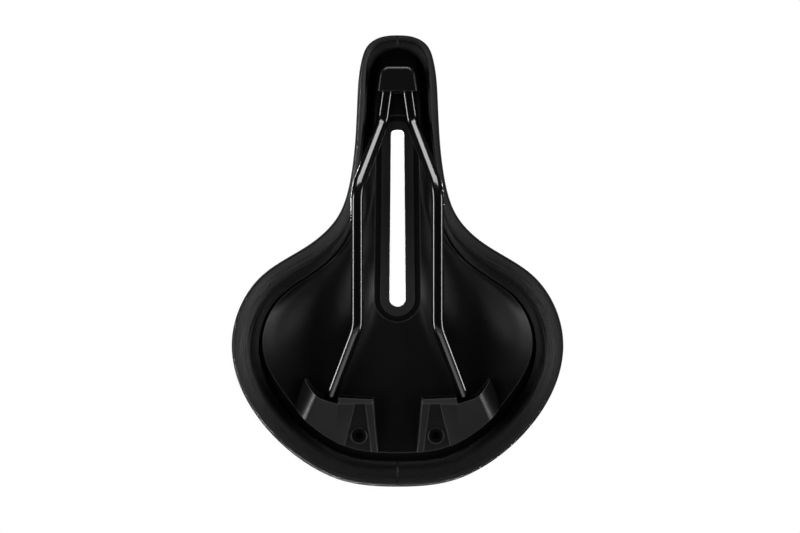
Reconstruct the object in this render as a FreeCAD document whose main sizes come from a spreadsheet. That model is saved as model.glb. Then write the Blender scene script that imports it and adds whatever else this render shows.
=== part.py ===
import FreeCAD, Part
import math
import os
import Sketcher
from FreeCAD import Vector

# Bicycle saddle. Units are mm.
# X points to the nose, Y to the rider's left, Z up.
# The origin lies midway between the two rails, in the middle of the stretch the seatpost clamps.

os.makedirs("parts", exist_ok=True)
doc = FreeCAD.newDocument("Saddle")

# ---------------------------------------------------------------- sizes

sheet = doc.addObject("Spreadsheet::Sheet", "Sizes")
SIZES = {
    "noseReach": 130.5,
    "tailReach": 125.5,
    "railDiameter": 7.0,
    "railPitch": 44.0,
    "noseLoopHeight": 29.0,
    "coverThickness": 1.5,
    "layerGap": 0.4,
    "shellThickness": 3.2,
    "shellSlotHeight": 33.0,
    "slotFront": 76.3,
    "slotRear": 23.0,
    "slotFrontHalf": 3.7,
    "slotFrontCorner": 2.4,
    "slotRearRadius": 4.55,
    "linerWall": 1.1,
    "linerFlange": 5.2,
    "linerFlangeThickness": 1.8,
    "linerHeight": 13.0,
    "rebateDepth": 1.6,
    "rebateReach": 8.4,
    "shellSlotReach": 4.6,
    "insertSpacing": 43.0,
    "insertOuterDiameter": 8.2,
    "insertMouthDiameter": 7.2,
    "insertMouthDepth": 2.4,
    "insertBore": 4.2,
    "insertLength": 8.0,
    "insertX": 94.4,
    "insertFaceHeight": 21.6,
    "railClearance": 0.05,
    "capRootX": 97.3,
    "capTipX": 111.4,
    "capRootWidth": 22.6,
    "capTipWidth": 18.6,
    "capCornerRadius": 5.2,
    "capEdgeRadius": 2.0,
    "capBottom": 20.5,
    "capTop": 32.5,
    "capPocketFloor": 25.4,
    "capPocketRadius": 9.6,
    "loopCentreX": 98.0,
    "loopRadius": 6.0,
}
for row, (alias, value) in enumerate(SIZES.items(), start=1):
    sheet.set("A%d" % row, alias)
    sheet.set("B%d" % row, "%g" % value)
    sheet.setAlias("B%d" % row, alias)
doc.recompute()


def size(alias):
    return float(getattr(sheet, alias))


WALL = size("coverThickness")
GAP = size("layerGap")

# The rail's centre line at its rear end and at the bend behind the clamped stretch.
RAIL_END = (-88, 43.0, 23.6)
RAIL_REAR_BEND = (-33.0, size("railPitch") / 2, 0)

RAIL_REAR_RADIUS = 14

# ---------------------------------------------------------------- smooth helpers


def ease(start, end, x):
    """Zero before start, one after end, smooth between them."""
    part = min(max((x - start) / (end - start), 0.0), 1.0)
    return part * part * (3 - 2 * part)


def along(keys, x):
    """A smooth value through (place, value) pairs listed in falling order of place."""
    if x >= keys[0][0]:
        return keys[0][1]
    if x <= keys[-1][0]:
        return keys[-1][1]
    slopes = [(b[1] - a[1]) / (b[0] - a[0]) for a, b in zip(keys, keys[1:])]
    turns = [0.0] + [(a + b) / 2 for a, b in zip(slopes, slopes[1:])] + [0.0]
    index = [x >= key[0] for key in keys].index(True) - 1
    (high, first), (low, second) = keys[index], keys[index + 1]
    span = low - high
    part = (x - high) / span
    value = first + (second - first) * part * part * (3 - 2 * part)
    value += turns[index] * span * part * (1 - part) ** 2
    value -= turns[index + 1] * span * part * part * (1 - part)
    return value


# ---------------------------------------------------------------- plan outlines

# The saddle's outline on the left side, from the nose tip to the middle of the tail.
OUTLINE = [
    (size("noseReach"), 0),
    (129.4, 9.5),
    (125.0, 16.6),
    (116.5, 20.3),
    (94, 22.8),
    (71, 24.0),
    (49, 26.7),
    (29, 33.2),
    (13, 48.6),
    (-6, 77.2),
    (-22, 88.5),
    (-45, 93.7),
    (-70, 88.2),
    (-93, 73.6),
    (-110.3, 54.6),
    (-121.8, 32),
    (-size("tailReach"), 0),
]
outline = Part.BSplineCurve()
outline.interpolate(
    Points=[Vector(x, y, 0) for x, y in OUTLINE] + [Vector(x, -y, 0) for x, y in OUTLINE[-2:0:-1]],
    PeriodicFlag=True,
)
outline.segment(outline.FirstParameter, (outline.FirstParameter + outline.LastParameter) / 2)
OUTLINE_LENGTH = outline.length()

# Distance along the slot's left half, from its front end, that faces each share of the outline's length.
SLOT_MATCH = Part.BSplineCurve()
SLOT_MATCH.interpolate(
    Points=[Vector(0, 0), Vector(12, 0), Vector(44, 0), Vector(79, 0), Vector(102, 0), Vector(111, 0), Vector(117.8, 0)],
    Parameters=[0, 0.1, 0.3, 0.52, 0.7, 0.84, 1],
)


def outline_at(t):
    """The outline's point and inward direction at a share t of its length."""
    u = outline.parameterAtDistance(t * OUTLINE_LENGTH, outline.FirstParameter)
    point = outline.value(u)
    tangent = Vector(outline.tangent(u)[0])
    if t <= 0 or t >= 1:
        point.y = 0
        tangent = Vector(0, 1 if t <= 0 else -1, 0)
    inward = Vector(-tangent.y, tangent.x, 0)
    return point, inward


def slot_at(t, reach):
    """The point on the slot's edge, moved out by reach, that faces the outline's point at t."""
    half = size("slotFrontHalf")
    corner = size("slotFrontCorner")
    front = Vector(size("slotFront") - corner, half - corner, 0)
    rear = Vector(-size("slotRear") + size("slotRearRadius"), 0, 0)
    front_radius = corner + reach
    rear_radius = size("slotRearRadius") + reach
    flank = front.x - rear.x
    arc = (117.8 - flank) / 2
    place = SLOT_MATCH.value(t).x
    if t <= 0:
        return Vector(front.x + front_radius, 0, 0)
    if t >= 1:
        return rear - Vector(rear_radius, 0, 0)
    if place < arc:
        end = front.y / (front.y + math.pi / 2 * front_radius)
        part = place / arc
        if part < end:
            return Vector(front.x + front_radius, front.y * part / end, 0)
        angle = math.pi / 2 * (part - end) / (1 - end)
        return front + Vector(math.cos(angle), math.sin(angle), 0) * front_radius
    if place > arc + flank:
        angle = math.pi / 2 * (1 + (place - arc - flank) / arc)
        return rear + Vector(math.cos(angle), math.sin(angle), 0) * rear_radius
    share = (place - arc) / flank
    return (front + Vector(0, front_radius, 0)) * (1 - share) + (rear + Vector(0, rear_radius, 0)) * share


# ---------------------------------------------------------------- heights


def edge_height(x):
    """Height of the saddle's widest contour."""
    return along([(130, 41), (60, 42), (0, 39), (-60, 40), (-125, 47)], x)


def top_height(x, y):
    """Height of the seat before its edges round over."""
    middle = along([(130, 51), (60, 54), (0, 55), (-90, 63), (-126, 63)], x)
    return middle - 0.0012 * y * y


def crown_radius(x):
    """How far in from the edge the top starts to round over."""
    return along([(130, 17), (100, 12), (40, 13), (-20, 36), (-80, 38), (-125, 30)], x)


def roll_width(x):
    """Width of the rolled rim seen from below."""
    nose = [(130.5, 9.8), (125, 9.6), (116, 7.0), (104, 5.9), (85, 5.8), (70, 4.9), (45, 5.2)]
    return along(nose + [(12, 14), (-30, 16), (-125, 15.5)], x)


def roll_depth(x):
    """How far the rolled rim hangs below the seam."""
    return along([(130, 10), (110, 12), (60, 12), (0, 14), (-50, 16), (-125, 18)], x)


def shell_edge_height(x):
    """Height of the shell's underside where the floor meets the lip."""
    return along([(125, 38), (85, 37), (60, 34), (0, 31), (-50, 29), (-110, 27.5)], x)


def lip_width(x):
    return along([(130, 0.9), (20, 0.9), (-50, 1.6), (-85, 5), (-110, 5)], x)


def lip_rise(x):
    return along([(130, 0.5), (20, 0.6), (-50, 2.0), (-110, 4.5)], x)


def arch(share):
    """The rise of the wing's underside from the slot to the edge: quick at first, then level, then back down."""
    if share < 0.5:
        return 1 - (1 - share / 0.5) ** 2.3
    return 1 - ((share - 0.5) / 0.5) ** 2


def valley_depth(x):
    """How far the wing's underside arches up between the slot and the edge."""
    return along([(120, 0.1), (45, 0.7), (18, 2.5), (-20, 7.8), (-60, 9.0), (-85, 6.2), (-103, 1.5), (-113, 0)], x)


# ---------------------------------------------------------------- section curves


def top_points(t):
    """The seat's outer surface from the slot's wall to the seam under the widest contour."""
    edge, inward = outline_at(t)
    start = slot_at(t, size("linerWall") + GAP)
    reach = (edge - start).Length
    outward = (edge - start).normalize()
    radius = min(crown_radius(edge.x), reach * 0.62)

    def surface(distance):
        place = start + outward * distance
        height = top_height(place.x, place.y)
        height -= 6.0 * (1 - ease(-2, 13, distance)) * ease(0, 4, reach - 13)
        rest = min((reach - distance) / radius, 1.0)
        base = edge_height(edge.x)
        height = base + (height - base) * math.sqrt(max(1 - (1 - rest) ** 2.2, 0))
        return Vector(place.x, place.y, height)

    wall_top = surface(1.6)
    foot = Vector(start.x, start.y, size("shellSlotHeight") + size("shellThickness") + GAP)
    shoulder = Vector(start.x, start.y, wall_top.z - 2.2)
    near = start + outward * 0.45
    points = [foot, shoulder, Vector(near.x, near.y, wall_top.z - 0.7), wall_top]
    rim = radius
    inner = reach - rim
    for share in (0.22, 0.48, 0.75, 1.0):
        points.append(surface(1.6 + (inner - 1.6) * share))
    for angle in (20, 38, 55, 70, 82):
        points.append(surface(inner + rim * math.sin(math.radians(angle))))
    height = edge_height(edge.x)
    points.append(Vector(edge.x, edge.y, height))
    for inset, drop in ((0.35, 2.0), (1.1, 3.8)):
        place = edge + inward * inset
        points.append(Vector(place.x, place.y, height - drop))
    return points


# The rolled rim's section as (share of its width, share of its depth), along the sides and at the nose.
ROLL = [(0.0, 0.0), (0.03, 0.26), (0.12, 0.52), (0.28, 0.75), (0.5, 0.92), (0.72, 1.0), (0.9, 0.9), (1.0, 0.62)]
NOSE_ROLL = [(0.0, 0.0), (0.03, 0.3), (0.12, 0.6), (0.28, 0.85), (0.48, 0.96), (0.7, 0.8), (0.88, 0.46), (1.0, 0.14)]


def roll_points(t, skin=0.0):
    """The rim's surface, skin deep inside its outside, from the seam down and in to the shell's edge."""
    edge, inward = outline_at(t)
    width = roll_width(edge.x) - 1.1 - 2 * skin
    depth = roll_depth(edge.x) - skin
    height = edge_height(edge.x) - 4.1
    nose = ease(102, 124, edge.x)
    points = []
    for side, front in zip(ROLL, NOSE_ROLL):
        across = side[0] + (front[0] - side[0]) * nose
        down = side[1] + (front[1] - side[1]) * nose
        place = edge + inward * (1.1 + skin + width * across)
        points.append(Vector(place.x, place.y, height - depth * down))
    return points


def moved_in(points, amount, side):
    """The same curve moved to its inner side by amount, within its own upright section."""
    result = []
    for index, point in enumerate(points):
        before = points[max(index - 1, 0)]
        after = points[min(index + 1, len(points) - 1)]
        normal = side.cross(after - before).normalize()
        result.append(point + normal * amount)
    return result


def section_side(t):
    """The level direction square to the section, towards the tail."""
    edge, inward = outline_at(t)
    if t <= 0:
        return Vector(0, 1, 0)
    if t >= 1:
        return Vector(0, -1, 0)
    across = (edge - slot_at(t, 0)).normalize()
    return Vector(-across.y, across.x, 0)


def smooth(points):
    """An even curve through the points, so the same point of every section lies on one line of the loft."""
    curve = Part.BSplineCurve()
    curve.interpolate(Points=points, Parameters=list(range(len(points))))
    return curve.toShape()


def straight(first, second):
    return Part.makeLine(first, second)


def seat_edges(points):
    """The slot's wall, the turn at its top and the seat itself, as three edges."""
    return [straight(points[0], points[1]), smooth(points[1:4]), smooth(points[3:])]


STATIONS = [0, 0.01, 0.03, 0.05, 0.08, 0.12, 0.17, 0.22, 0.27, 0.31, 0.35, 0.39, 0.43, 0.47, 0.51, 0.55, 0.6, 0.65]
STATIONS += [0.7, 0.75, 0.8, 0.85, 0.9, 0.94, 0.97, 0.99, 1]


def lofted(section):
    """A left half made by a smooth loft through the section at every station."""
    solid = Part.makeLoft([section(t) for t in STATIONS], True, False)
    if solid.Volume < 0:
        solid.reverse()
    return solid


def mirrored(shape):
    return shape.mirror(Vector(0, 0, 0), Vector(0, 1, 0))


def both_sides(half):
    whole = half.fuse(mirrored(half)).removeSplitter()
    return whole.Solids[0] if len(whole.Solids) == 1 else whole


# ---------------------------------------------------------------- sub-parts


def cover_top_section(t):
    outer = top_points(t)
    inner = moved_in(outer, WALL, section_side(t))
    edges = seat_edges(outer) + [straight(outer[-1], inner[-1])]
    edges += [edge for edge in reversed(seat_edges(inner))]
    return Part.Wire(Part.__sortEdges__(edges + [straight(inner[0], outer[0])]))


def cover_side_section(t):
    outer = roll_points(t)
    inner = roll_points(t, WALL)
    edges = [smooth(outer), straight(outer[-1], inner[-1]), smooth(inner[::-1]), straight(inner[0], outer[0])]
    return Part.Wire(edges)


def shell_underside(t):
    """Points along the shell's underside from the slot's rebate to the lip."""
    edge, inward = outline_at(t)
    start = slot_at(t, size("rebateReach"))
    end = edge + inward * (roll_width(edge.x) + 0.5 + lip_width(edge.x))
    low = shell_edge_height(edge.x)
    high = size("shellSlotHeight")
    points = []
    for share in (0, 0.07, 0.16, 0.28, 0.42, 0.6, 0.78, 0.9, 1):
        place = start + (end - start) * share
        height = high + (low - high) * share**2.2 + valley_depth(edge.x) * arch(share)
        points.append(Vector(place.x, place.y, height))
    return points


def shell_section(t):
    edge, inward = outline_at(t)
    thickness = size("shellThickness")
    below = shell_underside(t)
    start = slot_at(t, size("shellSlotReach"))
    rim = edge + inward * (roll_width(edge.x) + 0.5)
    lip = below[-1].z + lip_rise(edge.x)
    above = [Vector(p.x, p.y, p.z + thickness) for p in below[-2::-1]]
    first = Vector(start.x, start.y, below[0].z + thickness)
    last = Vector(rim.x, rim.y, lip + thickness - 0.7)
    rim_low = Vector(rim.x, rim.y, lip)
    ledge = Vector(start.x, start.y, below[0].z + size("rebateDepth"))
    rebate = Vector(below[0].x, below[0].y, ledge.z)
    edges = [
        smooth(below),
        straight(below[-1], rim_low),
        straight(rim_low, last),
        straight(last, above[0]),
        smooth(above),
        straight(above[-1], first),
        straight(first, ledge),
        straight(ledge, rebate),
        straight(rebate, below[0]),
    ]
    return Part.Wire(edges)


def foam_section(t):
    edge, inward = outline_at(t)
    top = moved_in(top_points(t), WALL + GAP, section_side(t))
    roll = roll_points(t, WALL + GAP)
    bottom = [Vector(p.x, p.y, p.z + size("shellThickness") + 3 * GAP) for p in shell_underside(t)]
    wall = Vector(top[0].x, top[0].y, bottom[0].z)
    inner = Vector(roll[-1].x, roll[-1].y, bottom[-1].z + lip_rise(edge.x))
    edges = seat_edges([wall] + top[1:-1] + [roll[0]])
    edges += [smooth(roll), straight(roll[-1], inner), straight(inner, bottom[-2])]
    edges += [smooth(bottom[-2::-1]), straight(bottom[0], wall)]
    return Part.Wire(edges)


def rail_wire(points, radii):
    """A line through the points with each inner corner rounded to its radius."""
    edges = []
    here = points[0]
    for index, radius in enumerate(radii, start=1):
        corner = points[index]
        back = (points[index - 1] - corner).normalize()
        on = (points[index + 1] - corner).normalize()
        half = back.getAngle(on) / 2
        cut = radius / math.tan(half)
        start = corner + back * cut
        end = corner + on * cut
        middle = corner + (back + on).normalize() * (radius / math.sin(half) - radius)
        edges.append(Part.makeLine(here, start))
        edges.append(Part.Arc(start, middle, end).toShape())
        here = end
    edges.append(Part.makeLine(here, points[-1]))
    return edges


def rail_shape():
    half = size("railPitch") / 2
    high = size("noseLoopHeight")
    loop = size("loopRadius")
    points = [
        Vector(*RAIL_END),
        Vector(*RAIL_REAR_BEND),
        Vector(42, half, 0),
        Vector(80.5, 8.3, high),
        Vector(96.4, loop, high),
        Vector(size("loopCentreX"), loop, high),
    ]
    left = rail_wire(points, [RAIL_REAR_RADIUS, 20, 10, 10])
    right = [edge.mirror(Vector(0, 0, 0), Vector(0, 1, 0)) for edge in left]
    tip = points[-1]
    bow = Part.Arc(tip, Vector(tip.x + loop, 0, high), Vector(tip.x, -loop, high)).toShape()
    path = Part.Wire(Part.__sortEdges__(left + [bow] + right))
    circle = Part.makeCircle(size("railDiameter") / 2, points[0], (points[1] - points[0]).normalize())
    return path.makePipeShell([Part.Wire([circle])], True, False)


def floor_block(t):
    """The space under the middle of the shell's thickness, out to the floor's edge."""
    middle = [Vector(p.x, p.y, p.z + size("shellThickness") / 2) for p in shell_underside(t)]
    first = Vector(middle[0].x, middle[0].y, 0)
    last = Vector(middle[-1].x, middle[-1].y, 0)
    return Part.Wire([smooth(middle), straight(middle[-1], last), straight(last, first), straight(first, middle[0])])


def at(x, front, rear):
    """A straight line's value at x, from its values at the socket's two reference places."""
    return front + (rear - front) * (-74 - x) / 27.0


# Lines along the rail socket's lower faces: (sideways, height) at X = -74 and at X = -101.
INNER_EDGE = ((13.6, 15.0), (11.4, 23.4))
BAR_EDGE = ((18.3, 15.0), (14.9, 23.4))
RECESS_EDGE = ((22.9, 13.0), (29.7, 22.4))
KEEL_EDGE = ((32.5, 10.4), (34.5, 22.6))
RAMP_EDGE = ((44.7, 10.4), (56.0, 22.6))
RAMP_MIDDLE = ((50.4, 15.2), (61.0, 25.2))
RAMP_END = ((55.5, 26.0), (65.0, 30.0))


def line_point(x, line):
    (front_y, front_z), (rear_y, rear_z) = line
    return Vector(x, at(x, front_y, rear_y), at(x, front_z, rear_z))


def raised(point, height=45):
    return Vector(point.x, point.y, height)


def prism_between(section, front=-56, rear=-110):
    return Part.makeLoft([section(front), section(rear)], True, True)


def socket_block(x):
    """The part that holds the rail: two flat faces and the outboard ramp."""
    corners = [line_point(x, line) for line in (RECESS_EDGE, KEEL_EDGE, RAMP_EDGE)]
    ramp = [corners[2], line_point(x, RAMP_MIDDLE), line_point(x, RAMP_END)]
    edges = [
        straight(raised(corners[0]), corners[0]),
        straight(corners[0], corners[1]),
        straight(corners[1], corners[2]),
        smooth(ramp),
        straight(ramp[-1], raised(ramp[-1])),
        straight(raised(ramp[-1]), raised(corners[0])),
    ]
    return Part.Wire(edges)


def socket_recess(x):
    """The sunken floor round the accessory insert."""
    inner = line_point(x, BAR_EDGE) - Vector(0, 1, 0)
    outer = line_point(x, RECESS_EDGE) + Vector(0, 1, 0)
    inner.z = at(x, 18.8, 25.0)
    outer.z = inner.z
    return Part.makePolygon([inner, outer, raised(outer), raised(inner), inner])


def socket_bar(x):
    """The narrow rib on the inboard side."""
    inner = line_point(x, INNER_EDGE)
    outer = line_point(x, BAR_EDGE)
    return Part.makePolygon([inner, outer, raised(outer), raised(inner), inner])


def front_bar():
    """The narrow rib across the front of the recess."""
    profiles = []
    for y, low, front in ((13.8, 14.6, -73.8), (32.6, 9.7, -72.6)):
        corners = [(front, low), (-76.4, low + 0.2), (-76.4, 45), (front, 45)]
        points = [Vector(x, y, z) for x, z in corners]
        profiles.append(Part.makePolygon(points + points[:1]))
    return Part.makeLoft(profiles, True, True)


def front_cutter():
    """Everything ahead of the socket's curved front face."""
    curve = [
        Vector(-76.2, 33, -5),
        Vector(-74.2, 39.5, -5),
        Vector(-71.6, 44.8, -5),
        Vector(-66.0, 49.4, -5),
        Vector(-61.5, 53.0, -5),
        Vector(-57.0, 60, -5),
    ]
    edges = [
        straight(Vector(-75.2, 0, -5), Vector(-75.2, 33, -5)),
        straight(Vector(-75.2, 33, -5), curve[0]),
        smooth(curve),
        straight(curve[-1], Vector(-40, 60, -5)),
        straight(Vector(-40, 60, -5), Vector(-40, 0, -5)),
        straight(Vector(-40, 0, -5), Vector(-75.2, 0, -5)),
    ]
    return Part.Face(Part.Wire(edges)).extrude(Vector(0, 0, 60))


def insert_place():
    return Vector(-size("insertX"), size("insertSpacing") / 2, size("insertFaceHeight"))


def rear_socket():
    main = prism_between(socket_block).cut(front_cutter())
    recess = prism_between(socket_recess).cut(front_cutter())
    bar = prism_between(socket_bar).cut(front_cutter())
    boss = Part.makeCylinder(size("insertOuterDiameter") / 2 + 0.6, 15, insert_place())
    joined = main.fuse([recess, bar, front_bar(), boss])
    return joined.common(lofted(floor_block)).removeSplitter()


def rail_bore():
    """The hole that takes the rail's end, along the rail."""
    end = Vector(*RAIL_END)
    bend = Vector(*RAIL_REAR_BEND)
    back = (end - bend).normalize()
    radius = size("railDiameter") / 2 + size("railClearance")
    start = RAIL_REAR_RADIUS
    length = (end - bend).Length - start
    return Part.makeCylinder(radius, length + 0.3, bend + back * start, back)


def nose_pad():
    """The flat seat moulded under the nose for the rail's cap."""
    pad = Part.makeBox(12.4, 17.6, 3.3, Vector(97.4, -8.8, size("capTop") + 0.3))
    corners = [e for e in pad.Edges if e.BoundBox.ZLength > 3]
    return pad.makeFillet(2.5, corners)


def base_shell_shape():
    half = lofted(shell_section).fuse(rear_socket())
    radius = size("insertOuterDiameter") / 2 + 0.02
    hole = Part.makeCylinder(radius, size("insertLength") + 0.3, insert_place())
    half = half.cut([rail_bore(), hole])
    return half.fuse([mirrored(half), nose_pad()]).removeSplitter()


# ---------------------------------------------------------------- sub-parts with sketches


def plane(body, role):
    return [feature for feature in body.Origin.OriginFeatures if feature.Role == role][0]


def new_sketch(body, name, height):
    sketch = body.newObject("Sketcher::SketchObject", name)
    sketch.AttachmentSupport = [(plane(body, "XY_Plane"), "")]
    sketch.MapMode = "FlatFace"
    sketch.setExpression(".AttachmentOffset.Base.z", height)
    return sketch


def new_pad(body, name, sketch, length):
    pad = body.newObject("PartDesign::Pad", name)
    pad.Profile = sketch
    pad.setExpression("Length", length)
    sketch.Visibility = False
    doc.recompute()
    return pad


def dimension(sketch, constraint, expression):
    index = sketch.addConstraint(constraint)
    sketch.setExpression("Constraints[%d]" % index, expression)


def slot_loop(sketch, reach, expression):
    """A tapered slot outline, reach outside the visible slot: a round rear end and a front with two round corners."""
    corner = size("slotFrontCorner")
    x1 = size("slotFront") - corner
    y1 = size("slotFrontHalf") - corner
    x2 = -size("slotRear") + size("slotRearRadius")
    r1 = corner + reach
    r2 = size("slotRearRadius") + reach
    turn = math.atan2(y1, x1 - x2) + math.acos((r2 - r1) / math.hypot(x1 - x2, y1))
    first = sketch.GeometryCount
    across = Vector(math.cos(turn), math.sin(turn), 0)
    left = Part.Circle(Vector(x1, y1, 0), Vector(0, 0, 1), r1)
    rear = Part.Circle(Vector(x2, 0, 0), Vector(0, 0, 1), r2)
    right = Part.Circle(Vector(x1, -y1, 0), Vector(0, 0, 1), r1)
    up1 = left.Center + across * r1
    up2 = rear.Center + across * r2
    down1 = Vector(up1.x, -up1.y, 0)
    down2 = Vector(up2.x, -up2.y, 0)
    sketch.addGeometry(Part.ArcOfCircle(left, 0, turn))
    sketch.addGeometry(Part.LineSegment(up1, up2))
    sketch.addGeometry(Part.ArcOfCircle(rear, turn, 2 * math.pi - turn))
    sketch.addGeometry(Part.LineSegment(down2, down1))
    sketch.addGeometry(Part.ArcOfCircle(right, 2 * math.pi - turn, 2 * math.pi))
    sketch.addGeometry(Part.LineSegment(Vector(x1 + r1, -y1, 0), Vector(x1 + r1, y1, 0)))
    for index in range(6):
        following = first + (index + 1) % 6
        sketch.addConstraint(Sketcher.Constraint("Tangent", first + index, 2, following, 1))
    sketch.addConstraint(Sketcher.Constraint("Symmetric", first, 3, first + 4, 3, -1))
    sketch.addConstraint(Sketcher.Constraint("Equal", first, first + 4))
    sketch.addConstraint(Sketcher.Constraint("PointOnObject", first + 2, 3, -1))
    dimension(sketch, Sketcher.Constraint("Radius", first, r1), "Sizes.slotFrontCorner + " + expression)
    dimension(sketch, Sketcher.Constraint("Radius", first + 2, r2), "Sizes.slotRearRadius + " + expression)
    ahead = Sketcher.Constraint("DistanceX", -1, 1, first, 3, x1)
    dimension(sketch, ahead, "Sizes.slotFront - Sizes.slotFrontCorner")
    aside = Sketcher.Constraint("DistanceY", -1, 1, first, 3, y1)
    dimension(sketch, aside, "Sizes.slotFrontHalf - Sizes.slotFrontCorner")
    back = Sketcher.Constraint("DistanceX", first + 2, 3, -1, 1, -x2)
    dimension(sketch, back, "Sizes.slotRear - Sizes.slotRearRadius")


def channel_liner():
    """The frame that lines the slot: a flat flange below and a thin wall up through the foam."""
    body = doc.addObject("PartDesign::Body", "ChannelLiner")
    body.Label = "channel_liner"
    low = "Sizes.shellSlotHeight + Sizes.rebateDepth - Sizes.linerFlangeThickness"
    flange = new_sketch(body, "LinerFlangeSketch", low)
    slot_loop(flange, size("linerFlange"), "Sizes.linerFlange")
    slot_loop(flange, 0, "0 * Sizes.linerWall")
    new_pad(body, "LinerFlange", flange, "Sizes.linerFlangeThickness")
    wall = new_sketch(body, "LinerWallSketch", low)
    slot_loop(wall, size("linerWall"), "Sizes.linerWall")
    slot_loop(wall, 0, "0 * Sizes.linerWall")
    new_pad(body, "LinerWall", wall, "Sizes.linerHeight")
    return body


def edge_names(shape, wanted):
    return ["Edge%d" % (i + 1) for i, edge in enumerate(shape.Edges) if wanted(edge.BoundBox)]


def new_fillet(body, name, base, names, radius):
    fillet = body.newObject("PartDesign::Fillet", name)
    fillet.Base = (base, names)
    fillet.setExpression("Radius", radius)
    doc.recompute()
    return fillet


def nose_rail_cap():
    """The hood that holds the rail's front loop, open to the rear and above."""
    body = doc.addObject("PartDesign::Body", "NoseRailCap")
    body.Label = "nose_rail_cap"
    outer = new_sketch(body, "CapOutline", "Sizes.capBottom")
    root = size("capRootX")
    tip = size("capTipX")
    wide = size("capRootWidth") / 2
    narrow = size("capTipWidth") / 2
    corners = [Vector(root, -wide, 0), Vector(tip, -narrow, 0), Vector(tip, narrow, 0), Vector(root, wide, 0)]
    for index in range(4):
        outer.addGeometry(Part.LineSegment(corners[index], corners[(index + 1) % 4]))
    for index in range(4):
        outer.addConstraint(Sketcher.Constraint("Coincident", index, 2, (index + 1) % 4, 1))
    outer.addConstraint(Sketcher.Constraint("Symmetric", 1, 1, 1, 2, -1))
    outer.addConstraint(Sketcher.Constraint("Symmetric", 3, 1, 3, 2, -1))
    dimension(outer, Sketcher.Constraint("DistanceX", -1, 1, 1, 1, tip), "Sizes.capTipX")
    dimension(outer, Sketcher.Constraint("DistanceX", -1, 1, 3, 1, root), "Sizes.capRootX")
    dimension(outer, Sketcher.Constraint("DistanceY", 1, 1, 1, 2, 2 * narrow), "Sizes.capTipWidth")
    dimension(outer, Sketcher.Constraint("DistanceY", 3, 2, 3, 1, 2 * wide), "Sizes.capRootWidth")
    block = new_pad(body, "CapBlock", outer, "Sizes.capTop - Sizes.capBottom")
    upright = edge_names(block.Shape, lambda b: b.ZLength > 5 and b.XMin > tip - 0.1)
    corner = new_fillet(body, "CapCorners", block, upright, "Sizes.capCornerRadius")
    bottom = size("capBottom")
    lower = edge_names(corner.Shape, lambda b: b.ZMax < bottom + 0.01 and b.XMax > root + 0.1)
    rim = new_fillet(body, "CapEdge", corner, lower, "Sizes.capEdgeRadius")
    before = rim.Shape.Volume

    pocket_sketch = new_sketch(body, "CapPocketSketch", "Sizes.capPocketFloor")
    centre = size("loopCentreX")
    radius = size("capPocketRadius")
    back = root - 2
    circle = Part.Circle(Vector(centre, 0, 0), Vector(0, 0, 1), radius)
    pocket_sketch.addGeometry(Part.ArcOfCircle(circle, -math.pi / 2, math.pi / 2))
    pocket_sketch.addGeometry(Part.LineSegment(Vector(centre, radius, 0), Vector(back, radius, 0)))
    pocket_sketch.addGeometry(Part.LineSegment(Vector(back, radius, 0), Vector(back, -radius, 0)))
    pocket_sketch.addGeometry(Part.LineSegment(Vector(back, -radius, 0), Vector(centre, -radius, 0)))
    pocket_sketch.addConstraint(Sketcher.Constraint("Tangent", 0, 2, 1, 1))
    pocket_sketch.addConstraint(Sketcher.Constraint("Coincident", 1, 2, 2, 1))
    pocket_sketch.addConstraint(Sketcher.Constraint("Coincident", 2, 2, 3, 1))
    pocket_sketch.addConstraint(Sketcher.Constraint("Tangent", 3, 2, 0, 1))
    pocket_sketch.addConstraint(Sketcher.Constraint("Horizontal", 1))
    pocket_sketch.addConstraint(Sketcher.Constraint("Vertical", 2))
    pocket_sketch.addConstraint(Sketcher.Constraint("PointOnObject", 0, 3, -1))
    dimension(pocket_sketch, Sketcher.Constraint("DistanceX", -1, 1, 0, 3, centre), "Sizes.loopCentreX")
    dimension(pocket_sketch, Sketcher.Constraint("Radius", 0, radius), "Sizes.capPocketRadius")
    dimension(pocket_sketch, Sketcher.Constraint("DistanceX", -1, 1, 2, 1, back), "Sizes.capRootX - 2")
    pocket = body.newObject("PartDesign::Pocket", "CapPocket")
    pocket.Profile = pocket_sketch
    pocket.setExpression("Length", "Sizes.capTop - Sizes.capPocketFloor + 1")
    pocket.Reversed = True
    pocket_sketch.Visibility = False
    doc.recompute()
    if pocket.Shape.Volume > before - 500:
        raise RuntimeError("the cap's pocket took nothing away")
    return body


def new_cylinder(name, radius, height, z):
    cylinder = doc.addObject("Part::Cylinder", name)
    cylinder.setExpression("Radius", radius)
    cylinder.setExpression("Height", height)
    cylinder.setExpression(".Placement.Base.x", "-Sizes.insertX")
    cylinder.setExpression(".Placement.Base.y", "Sizes.insertSpacing / 2")
    cylinder.setExpression(".Placement.Base.z", z)
    return cylinder


def accessory_inserts():
    """Two threaded inserts, open below, with a wider mouth."""
    face = "Sizes.insertFaceHeight"
    outer = new_cylinder("InsertOuter", "Sizes.insertOuterDiameter / 2", "Sizes.insertLength", face)
    bore = new_cylinder("InsertBore", "Sizes.insertBore / 2", "Sizes.insertLength", face)
    mouth = new_cylinder("InsertMouth", "Sizes.insertMouthDiameter / 2", "Sizes.insertMouthDepth", face)
    drilled = doc.addObject("Part::Cut", "InsertDrilled")
    drilled.Base = outer
    drilled.Tool = bore
    left = doc.addObject("Part::Cut", "InsertLeft")
    left.Base = drilled
    left.Tool = mouth
    right = doc.addObject("Part::Mirroring", "InsertRight")
    right.Source = left
    right.Normal = Vector(0, 1, 0)
    pair = doc.addObject("Part::Compound", "AccessoryInserts")
    pair.Links = [left, right]
    pair.Label = "accessory_inserts"
    return pair


def plain_feature(label, shape):
    feature = doc.addObject("Part::Feature", label.title().replace("_", ""))
    feature.Label = label
    feature.Shape = shape
    feature.Placement = FreeCAD.Placement()
    return feature


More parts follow.
